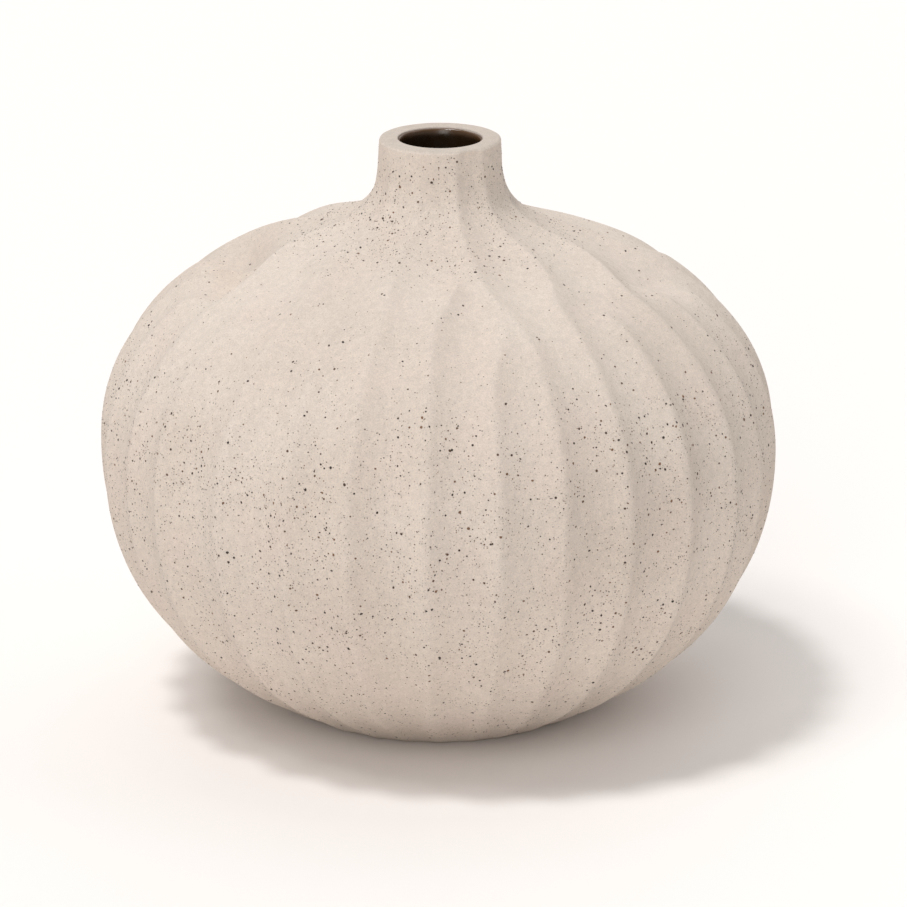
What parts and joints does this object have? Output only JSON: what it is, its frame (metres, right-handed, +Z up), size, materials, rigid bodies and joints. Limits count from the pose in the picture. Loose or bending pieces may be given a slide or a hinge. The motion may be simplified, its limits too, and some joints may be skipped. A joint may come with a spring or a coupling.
{
  "type": "stoneware vase",
  "caption": "Round onion-shaped stoneware vase with hand-carved vertical flutes, a short narrow neck and a dark glazed inside; stands on a flat foot.",
  "frame": {"origin": "centre of the foot, on the surface that the vase stands on", "axes": "+Z up through the mouth, -Y towards the front of the vase"},
  "size_m": [0.1607, 0.1608, 0.138],
  "materials": {
    "raw_stoneware": "matte unglazed buff stoneware with fine iron speckle",
    "brown_glaze": "glossy dark brown glaze",
    "iron_speck": "fused iron specks in the clay, dull dark brown"
  },
  "bodies": {
    "root": {"stoneware_body": "raw_stoneware", "interior_glaze": "brown_glaze"}
  },
  "joints": []
}
